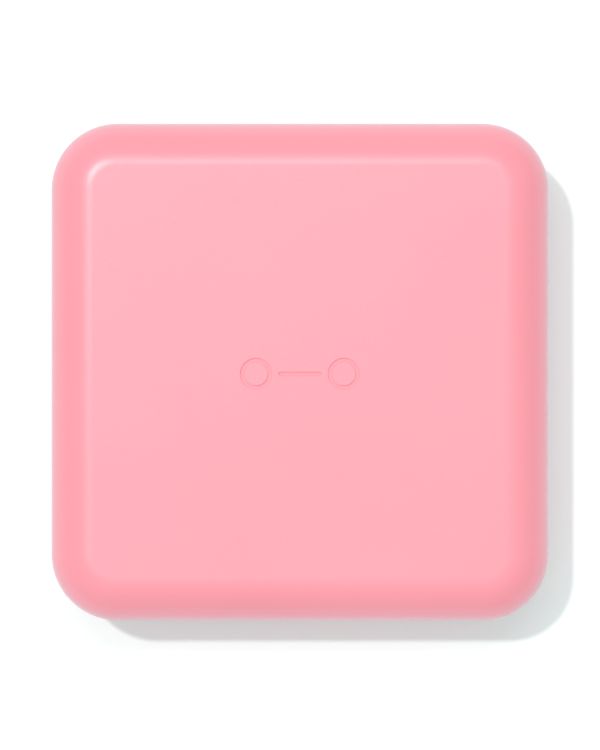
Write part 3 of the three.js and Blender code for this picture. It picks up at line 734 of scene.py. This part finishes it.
def fluted_cap(name, start, axis, length, radius, flutes, depth, edge):
    """A round cap with finger flutes that fade out into its rounded top edge."""
    across = Vector((1, 1, 1)) - axis
    piece = rod(name, radius, start, start + axis * length, flutes * 8)
    bpy.ops.object.mode_set(mode="EDIT")
    top = (start + axis * length).dot(axis)
    round_off(
        lambda a, b: abs(a.dot(axis) - top) < NEAR and abs(b.dot(axis) - top) < NEAR, edge, 5)
    side = Vector((0, 0, 1)) if axis.x > 0.5 else Vector((1, 0, 0))
    other = axis.cross(side)

    def in_flute(lowest, highest):
        """A test for the points that lie between two shares of a flute's pitch from its middle."""
        def test(v):
            out = v - start
            height = out.dot(axis)
            turn = math.atan2(out.dot(other), out.dot(side)) / math.tau * flutes % 1
            return height < length - edge * 0.9 and lowest <= abs(turn - 0.5) < highest
        return test

    for lowest, highest, share in FLUTE_STEPS:
        scale = 1 - depth * share / radius
        pick("VERT", in_flute(lowest, highest))
        bpy.ops.transform.resize(
            value=tuple(1 + (scale - 1) * c for c in across), center_override=start)
    bpy.ops.object.mode_set(mode="OBJECT")
    return piece


def stroke(middle, x, y, length, turn=0.0):
    """One straight stroke of a raised letter, sunk a little into the floor of the dish."""
    half = Vector((STROKE / 2, length / 2, DISH_DEPTH * 0.6))
    bar = moulding("stroke", -half, half, STROKE * 0.3, steps=4)
    bar.rotation_euler = (0, 0, turn)
    bar.location = middle + Vector((x, y, 0))
    fix_in_place()
    return bar


def mark_left(middle):
    """The letter L, from two strokes."""
    return [
        stroke(middle, -1.4 * MM, 0, LETTER_HEIGHT),
        stroke(middle, 0.2 * MM, -2.2 * MM, 3.6 * MM, math.radians(90)),
    ]


def mark_right(middle):
    """The letter R, from two strokes and a ring."""
    bowl = tube_ring(
        "bowl", 1.6 * MM, 0.8 * MM, middle + Vector((0.05 * MM, 1.0 * MM, 0)), DISH_DEPTH * 1.2, 48)
    return [
        stroke(middle, -1.3 * MM, 0, LETTER_HEIGHT),
        bowl,
        stroke(middle, 0.55 * MM, -1.35 * MM, 2.9 * MM, math.radians(32)),
    ]


pink_cap_plastic = moulded_plastic(
    "pink_cap_plastic", CAP_PINK, CAP_PINK_DEEP, 0.34, speckle=2400.0, glow=0.05)

for label, marks, side, paint, slot in (
    ("left", mark_left, -1, pink_cap_plastic, "pink_plastic"),
    ("right", mark_right, 1, white_plastic, "white_plastic"),
):
    node = f"lens_cap_{label}"
    cap_low, cap_high = (Vector(corner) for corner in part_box(node))
    middle = Vector((side * WELL_X, CASE_Y, 0))
    length = cap_high.z - cap_low.z
    cap = fluted_cap(
        f"screw_cap_{label}", middle + UP * cap_low.z, UP, length, CAP_R, CAP_FLUTES,
        FLUTE_DEPTH, CAP_EDGE)
    dish_z = cap_high.z - DISH_DEPTH
    dish = rod("dish", DISH_R, middle + UP * dish_z, middle + UP * (cap_high.z + MM), 96)
    round_edges(level(dish_z), DISH_FILLET, 3)
    work(cap, dish)
    ceiling = cap_high.z - CAP_TOP
    work(cap, rod("bore", CAP_BORE_R, middle + UP * (cap_low.z - MM), middle + UP * ceiling, 96))
    add_lugs(
        cap, middle + UP * (CASE_Z + LENS_LUG_Z - CAP_LUG_DROP), UP, CAP_BORE_R,
        CAP_BORE_R - LUG_DEPTH, LENS_LEAD)
    for mark in marks(middle + UP * (cap_high.z - DISH_DEPTH * 0.65)):
        work(cap, mark, "UNION")
    finish(cap, paint, f"cap_{label}", [node])

# ---- Sealing rings of the lens case ----
# Two flat rings of clear silicone, one pressed under each cap, that seal on the necks' rims.

SEAL_OUTER = 11.8 * MM
SEAL_INNER = 9.2 * MM
SEAL_EDGE = 0.18 * MM
SILICONE = (0.93, 0.95, 0.95)
SILICONE_DEEP = (0.88, 0.91, 0.91)


def ease(piece, width, angle=40):
    """Rounds every edge of a finished shape that is sharper than an angle in degrees."""
    apply_modifier(
        piece, "BEVEL", width=width, segments=3, limit_method="ANGLE",
        angle_limit=math.radians(angle))


def soft_rubber(name, colour, deep, clear):
    """Translucent moulded silicone: a soft glow from inside, and a satin skin with a fine grain."""
    made, nodes, links = material(name)
    shader = nodes["Principled BSDF"]
    place = nodes.new("ShaderNodeTexCoord").outputs["Object"]
    links.new(
        blended(nodes, links, noise(nodes, links, place, 70.0), deep, colour),
        shader.inputs["Base Color"])
    skin = noise(nodes, links, place, 1500.0, 4.0)
    links.new(spread(nodes, links, skin, 0.26, 0.42), shader.inputs["Roughness"])
    relief(nodes, links, skin, shader, 0.35, 0.00003)
    shader.inputs["IOR"].default_value = 1.41
    shader.inputs["Transmission Weight"].default_value = clear
    shader.inputs["Subsurface Weight"].default_value = 0.25
    shader.inputs["Subsurface Scale"].default_value = 0.0015
    return made


clear_silicone = soft_rubber("clear_silicone", SILICONE, SILICONE_DEEP, 0.35)

for label, side in (("left", -1), ("right", 1)):
    node = f"cap_seal_{label}"
    seal_low, seal_high = (Vector(corner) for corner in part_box(node))
    middle = Vector((side * WELL_X, CASE_Y, (seal_low.z + seal_high.z) / 2))
    seal = tube_ring(f"seal_ring_{label}", SEAL_OUTER, SEAL_INNER, middle, seal_high.z - seal_low.z)
    ease(seal, SEAL_EDGE)
    finish(seal, clear_silicone, f"seal_{label}", [node])

# ---- Solution bottle ----
# A small blow-moulded bottle in frosted polyethylene, lying along the tray, with a round shoulder
# and two thread lugs on its neck.

BOTTLE_NECK_R = 3.9 * MM
BOTTLE_THREAD_Z = 51.2 * MM
BOTTLE_LEAD = 3 * MM
FROST = (0.9, 0.93, 0.95)
FROST_DEEP = (0.86, 0.9, 0.92)
ALONG = Vector((1, 0, 0))

bottle_low, bottle_high = (Vector(corner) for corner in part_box("bottle_body"))
bottle_foot = Vector(
    (bottle_low.x, (bottle_low.y + bottle_high.y) / 2, (bottle_low.z + bottle_high.z) / 2))


def spun(name, foot, profile, sides=72, soften=0.25):
    """Turns a profile of radii and heights, in millimetres, round a line along X from a foot, and
    eases its edges."""
    fresh()
    bpy.ops.mesh.primitive_plane_add(size=MM)
    piece = settle(name)
    bpy.ops.object.mode_set(mode="EDIT")
    bpy.ops.mesh.select_mode(type="VERT")
    bpy.ops.mesh.select_all(action="SELECT")
    bpy.ops.mesh.merge(type="CENTER")
    spots = [foot + Vector((height * MM, radius * MM, 0)) for radius, height in profile]
    bpy.ops.transform.translate(value=spots[0])
    for here, there in zip(spots, spots[1:]):
        bpy.ops.mesh.extrude_vertices_move(TRANSFORM_OT_translate={"value": there - here})
    bpy.ops.mesh.select_all(action="SELECT")
    bpy.ops.mesh.spin(steps=sides, angle=math.tau, center=foot, axis=(1, 0, 0))
    clean_up()
    bpy.ops.object.mode_set(mode="OBJECT")
    ease(piece, soften * MM, 30)
    return piece


bottle = spun("solution_bottle", bottle_foot, [
    (0, 0.25), (4.4, 0.25), (4.7, 0), (5.4, 0), (6.2, 0.9), (6.2, 43.2), (5.6, 44.6), (4.5, 46.0),
    (3.9, 46.4), (3.9, 53.4), (3.0, 53.4), (3.0, 45.6), (5.3, 43.0), (5.3, 1.6), (4.7, 1.0),
    (0, 1.0),
])
add_lugs(
    bottle, bottle_foot + ALONG * BOTTLE_THREAD_Z, ALONG, BOTTLE_NECK_R, BOTTLE_NECK_R + LUG_DEPTH,
    BOTTLE_LEAD)
frosted = moulded_plastic(
    "frosted_polyethylene", FROST, FROST_DEEP, 0.32, speckle=1800.0, glow=0.35, clear=0.2)
finish(bottle, frosted, "base", ["bottle_body"])

# ---- Drip nozzle ----
# A white plug with a flange and a tapered tip, pressed into the bottle's neck, with a fine hole
# through it.

nozzle = spun("drip_nozzle", bottle_foot, [
    (0.5, 50.5), (2.9, 50.5), (2.9, 53.5), (3.9, 53.5), (3.9, 54.3), (2.4, 54.3), (1.1, 58.9),
    (0.5, 58.9), (0.5, 50.5),
], sides=48, soften=0.12)
finish(nozzle, white_plastic, "base", ["bottle_nozzle"])

# ---- Cap of the bottle, and its liner ----
# A small fluted screw cap in the pink of the lens case's left cap. A disc of foam inside it closes
# the nozzle's hole.

BOTTLE_CAP_R = 5.9 * MM
BOTTLE_CAP_BORE_R = 4.9 * MM
BOTTLE_CAP_FLUTES = 20
BOTTLE_CAP_EDGE = 0.7 * MM
LINER_R = 4.6 * MM
LINER_EDGE = 0.12 * MM

cap_low, cap_high = (Vector(corner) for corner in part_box("bottle_cap"))
liner_low, liner_high = (Vector(corner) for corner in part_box("bottle_cap_liner"))
cap_foot = Vector((cap_low.x, bottle_foot.y, bottle_foot.z))
bottle_cap = fluted_cap(
    "bottle_screw_cap", cap_foot, ALONG, cap_high.x - cap_low.x, BOTTLE_CAP_R, BOTTLE_CAP_FLUTES,
    FLUTE_DEPTH * 0.8, BOTTLE_CAP_EDGE)
ceiling = Vector((liner_high.x + 0.1 * MM, bottle_foot.y, bottle_foot.z))
work(bottle_cap, rod("bore", BOTTLE_CAP_BORE_R, cap_foot - ALONG * MM, ceiling, 72))
add_lugs(
    bottle_cap, bottle_foot + ALONG * (BOTTLE_THREAD_Z - CAP_LUG_DROP), ALONG,
    BOTTLE_CAP_BORE_R, BOTTLE_CAP_BORE_R - LUG_DEPTH, BOTTLE_LEAD)
finish(bottle_cap, pink_cap_plastic, "bottle_cap_body", ["bottle_cap"])

liner = rod(
    "cap_liner", LINER_R, (liner_low.x, bottle_foot.y, bottle_foot.z),
    (liner_high.x, bottle_foot.y, bottle_foot.z), 64)
ease(liner, LINER_EDGE)
finish(liner, foam, "liner", ["bottle_cap_liner"])

# ---- Tweezers ----
# Two springy arms in white plastic, both pushed into slots in a pink tail block, with a soft clear
# sleeve on the end of each. They pick a lens up without marking it.

ARM_THICK = 1.3 * MM
ARM_HEIGHT = 3.4 * MM
TAIL_ROOT_Y = 1.9 * MM
TIP_Y = 3.9 * MM
ARM_EDGE = 0.35 * MM
TAIL_CORNER = 2.2 * MM
TAIL_EDGE = 0.7 * MM
SLOT_START = 1.2 * MM
SLOT_HALF = 1.9 * MM
GRIP_DEPTH = 0.25 * MM
GRIP_CUTS = 6
GRIP_START = 29 * MM
GRIP_PITCH = 1.5 * MM
GRIP_WIDTH = 0.6 * MM
GRIP_Y = 4.6 * MM
GRIP_MERGE = 2e-6  # the grip cuts leave points a little further apart than other cuts
TIP_CORNER = 1.3 * MM
TIP_EDGE = 0.6 * MM
SOCKET_END = 57.5 * MM
SOCKET_HALVES = (0.88 * MM, 1.8 * MM)
# Each station is a place along the arm and out from the middle, in millimetres from the tail.
ARM_STATIONS = [
    (1.6, 1.9), (5.0, 1.88), (9.0, 1.95), (12.5, 2.45), (16.3, 3.13), (20.2, 3.72), (24.6, 4.25),
    (29.1, 4.58), (33.66, 4.65), (39.0, 4.52), (44.5, 4.25), (49.7, 4.05), (53.5, 3.95),
    (57.3, 3.9),
]

tail_low, tail_high = (Vector(corner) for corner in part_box("tweezers_tail"))
tool = Vector((tail_low.x, (tail_low.y + tail_high.y) / 2, (tail_low.z + tail_high.z) / 2))
tail = moulding(
    "tail_block", tail_low, tail_high, TAIL_CORNER, top=TAIL_EDGE, bottom=TAIL_EDGE)
for side in (-1, 1):
    slot_y = tool.y + side * TAIL_ROOT_Y
    work(tail, block(
        "slot",
        (tool.x + SLOT_START, slot_y - MM, tool.z - SLOT_HALF),
        (tail_high.x + MM, slot_y + MM, tool.z + SLOT_HALF)))
finish(tail, pink_cap_plastic, "base", ["tweezers_tail"])

for label, side in (("front", -1), ("back", 1)):
    spots = [tool + Vector((x * MM, side * y * MM, 0)) for x, y in ARM_STATIONS]
    size = Vector((0, ARM_THICK / 2, ARM_HEIGHT / 2))
    arm = block(f"spring_arm_{label}", spots[0] - size, spots[0] + size + ALONG * 0.02 * MM)
    bpy.ops.object.mode_set(mode="EDIT")
    pick("FACE", lambda c, n: n.x > 0.9)
    for here, there in zip(spots, spots[1:]):
        bpy.ops.mesh.extrude_region_move(TRANSFORM_OT_translate={"value": there - here})
    clean_up()
    bpy.ops.object.mode_set(mode="OBJECT")
    ease(arm, ARM_EDGE)
    # A few shallow cuts across the outer face give the fingers a grip.
    face_y = tool.y + side * (GRIP_Y + ARM_THICK / 2)
    front, back = sorted((face_y - side * GRIP_DEPTH, face_y + side * MM))
    for ridge in range(GRIP_CUTS):
        cut_x = tool.x + GRIP_START + GRIP_PITCH * ridge
        work(arm, moulding(
            "grip_cut",
            (cut_x, front, tool.z - 3 * MM),
            (cut_x + GRIP_WIDTH, back, tool.z + 3 * MM),
            0.1 * MM, steps=3))
    take(arm)
    bpy.ops.object.mode_set(mode="EDIT")
    clean_up(GRIP_MERGE)
    bpy.ops.object.mode_set(mode="OBJECT")
    finish(arm, white_plastic, f"arm_{label}", [f"tweezers_arm_{label}"])

    tip_low, tip_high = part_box(f"tweezers_tip_{label}")
    tip = moulding(
        f"soft_tip_{label}", tip_low, tip_high, TIP_CORNER, top=TIP_EDGE, bottom=TIP_EDGE, steps=8)
    tip_y = tool.y + side * TIP_Y
    work(tip, block(
        "socket",
        (tip_low[0] - MM, tip_y - SOCKET_HALVES[0], tool.z - SOCKET_HALVES[1]),
        (tool.x + SOCKET_END, tip_y + SOCKET_HALVES[0], tool.z + SOCKET_HALVES[1])))
    finish(tip, clear_silicone, f"arm_{label}", [f"tweezers_tip_{label}"])

# ---- Lens applicator ----
# A waisted pink handle with a soft cup on a stem that is pushed into its end. The dished mouth of
# the cup carries a lens to the eye.

handle_low, handle_high = (Vector(corner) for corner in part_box("applicator_handle"))
handle_foot = Vector(
    (handle_low.x, (handle_low.y + handle_high.y) / 2, (handle_low.z + handle_high.z) / 2))
handle = spun("applicator_stick", handle_foot, [
    (0, 0), (1.4, 0), (2.2, 0.8), (2.2, 3.0), (1.95, 3.4), (1.95, 3.9), (2.2, 4.3), (2.2, 25.2),
    (2.05, 28.5), (1.8, 32.5), (1.76, 34.5), (1.76, 48.7), (1.95, 49.9), (2.2, 50.9), (2.2, 55.9),
    (1.4, 55.9), (1.4, 51.8), (0, 51.8),
], sides=48, soften=0.18)
finish(handle, pink_cap_plastic, "base", ["applicator_handle"])

cup = spun("soft_cup", handle_foot, [
    (0, 52), (1.3, 52), (1.3, 56), (2.2, 56), (2.0, 56.7), (1.76, 57.6), (1.9, 58.7), (2.25, 59.8),
    (2.75, 60.55), (3.0, 60.9), (2.85, 61.4), (2.4, 61.4), (2.0, 60.95), (1.65, 60.63),
    (0.9, 60.36), (0, 60.3),
], sides=48, soften=0.08)
finish(cup, clear_silicone, "base", ["applicator_cup"])

# ---- Floor, light and camera ----
# A white sheet under the case, a wide softbox overhead, a strip light behind it, a small key light
# from the upper left that draws the crisp shadow, and a little even fill. The sheet glows faintly,
# so that shadows stay pale. The camera looks straight down.

FLOOR_SIDE = 4
FLOOR_DROP = 0.1 * MM
FILL = 0.47
CASE_SHARE = 0.8275  # of the picture's width
PICTURE_TALL = 1.25  # the picture's height over its width
FRAMED_BELOW = 0.435 * MM

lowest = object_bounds()[0].z
fresh()
bpy.ops.mesh.primitive_plane_add(size=FLOOR_SIDE, location=(0, 0, lowest - FLOOR_DROP))
floor = settle("floor")
paper, nodes, links = material("white_paper")
shader = nodes["Principled BSDF"]
shader.inputs["Base Color"].default_value = (0.86, 0.9, 0.898, 1)
shader.inputs["Roughness"].default_value = 0.95
shader.inputs["Emission Color"].default_value = (0.58, 1, 0.96, 1)
shader.inputs["Emission Strength"].default_value = 0.18
floor.data.materials.append(paper)

world = bpy.data.worlds.new("studio")
bpy.context.scene.world = world
world.use_nodes = True
backdrop = world.node_tree.nodes["Background"]
backdrop.inputs["Color"].default_value = (1, 1, 1, 1)
backdrop.inputs["Strength"].default_value = FILL


def lamp(name, kind, aim_from, energy, **settings):
    """A light at a point, aimed at the middle of the floor."""
    light = bpy.data.lights.new(name, kind)
    light.energy = energy
    for key, value in settings.items():
        setattr(light, key, value)
    holder = bpy.data.objects.new(name, light)
    bpy.context.scene.collection.objects.link(holder)
    holder.location = aim_from
    holder.rotation_euler = (-Vector(aim_from)).to_track_quat("-Z", "Y").to_euler()


lamp("key", "SUN", (-0.262, 0.226, 1), 1.15, angle=math.radians(2.4))
lamp("strip", "AREA", (0, 0.34, 1.15), 1.8, shape="RECTANGLE", size=0.5, size_y=0.12)
lamp("softbox", "AREA", (0, 0, 1.2), 2.7, shape="DISK", size=1.2)

camera = bpy.data.cameras.new("camera")
camera.lens = 200
camera.sensor_width = 36
holder = bpy.data.objects.new("camera", camera)
bpy.context.scene.collection.objects.link(holder)
view_width = (base_high.x - base_low.x) / CASE_SHARE
view_height = view_width * PICTURE_TALL
distance = view_height * camera.lens / camera.sensor_width
middle = Vector((0, -FRAMED_BELOW, lid_high.z - SHELL_EDGE))
holder.location = middle + Vector((0, 0, distance))
camera.clip_start = 0.01
camera.clip_end = 10
bpy.context.scene.camera = holder

bpy.context.scene.view_settings.view_transform = "Standard"
